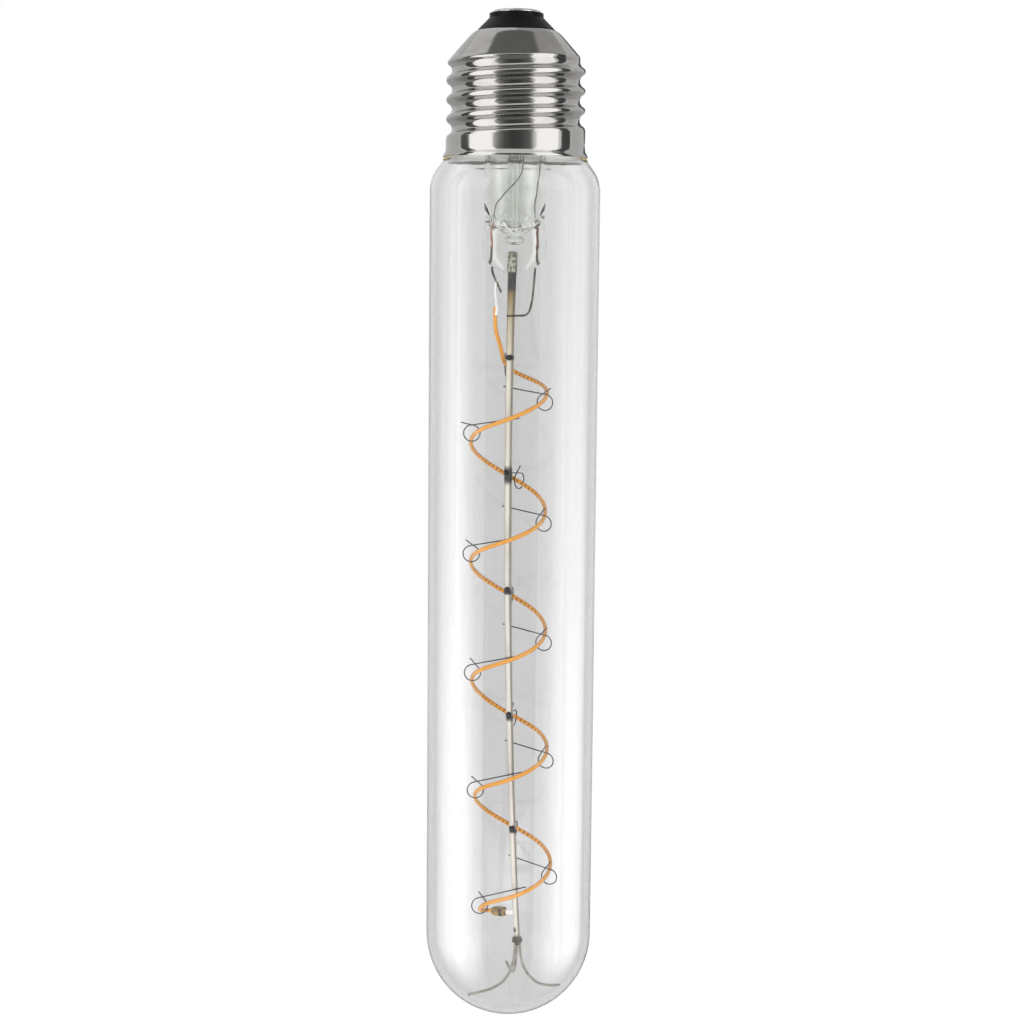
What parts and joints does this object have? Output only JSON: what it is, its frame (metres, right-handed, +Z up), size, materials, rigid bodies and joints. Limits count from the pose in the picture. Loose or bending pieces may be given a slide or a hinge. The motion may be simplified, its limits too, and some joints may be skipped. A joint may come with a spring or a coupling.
{
  "type": "tubular light bulb",
  "caption": "Clear tubular lamp with a screw cap and a spiral flexible filament carried on wire hooks round a mast.",
  "frame": {"origin": "centre of the tip contact's outer face", "axes": "+Z up out of the cap along the lamp's axis, -Y towards the viewer, +X to the viewer's right"},
  "size_m": [0.0324, 0.0324, 0.1948],
  "materials": {
    "cap_metal": "polished nickel plate",
    "cap_black": "fused black glass",
    "cement": "baked ochre cement",
    "clear_glass": "clear, fire-polished",
    "copper_wire": "copper-clad wire",
    "nickel_wire": "drawn nickel wire",
    "mast_metal": "drawn rod, oxidised at its top",
    "hook_wire": "thin dark drawn wire",
    "phosphor": "orange phosphor silicone",
    "tab_metal": "thin bright strip",
    "ferrule_metal": "crimped strip with silicone on it",
    "board": "green laminate",
    "black_package": "moulded",
    "capacitor_can": "drawn can",
    "fuse_body": "lacquered"
  },
  "bodies": {
    "root": {"cap_shell": "cap_metal", "cap_insulator": "cap_black", "centre_contact": "cap_metal", "cap_cement": "cement", "glass_envelope": "clear_glass", "glass_stem": "clear_glass", "exhaust_tube": "clear_glass", "outer_lead_left": "copper_wire", "outer_lead_right": "copper_wire", "seal_wire_left": "copper_wire", "seal_wire_right": "copper_wire", "inner_lead_left": "nickel_wire", "inner_lead_right": "nickel_wire", "mast": "mast_metal", "filament": "phosphor", "filament_tab_top": "tab_metal", "filament_ferrule": "ferrule_metal", "filament_tab_bottom": "tab_metal", "spring_leg_left": "hook_wire", "spring_leg_right": "hook_wire", "spring_leg_back": "hook_wire", "driver_board": "board", "driver_chip": "black_package", "bridge_rectifier": "black_package", "smoothing_capacitor": "capacitor_can", "fuse_resistor": "fuse_body", "tip_wire": "copper_wire", "shell_wire": "copper_wire", "hook_right_1": "hook_wire", "hook_right_2": "hook_wire", "hook_right_3": "hook_wire", "hook_right_4": "hook_wire", "hook_right_5": "hook_wire", "hook_left_1": "hook_wire", "hook_left_2": "hook_wire", "hook_left_3": "hook_wire", "hook_left_4": "hook_wire", "hook_left_5": "hook_wire", "hook_back_1": "hook_wire", "hook_back_2": "hook_wire", "hook_back_3": "hook_wire", "hook_back_4": "hook_wire", "hook_back_5": "hook_wire"}
  },
  "joints": []
}
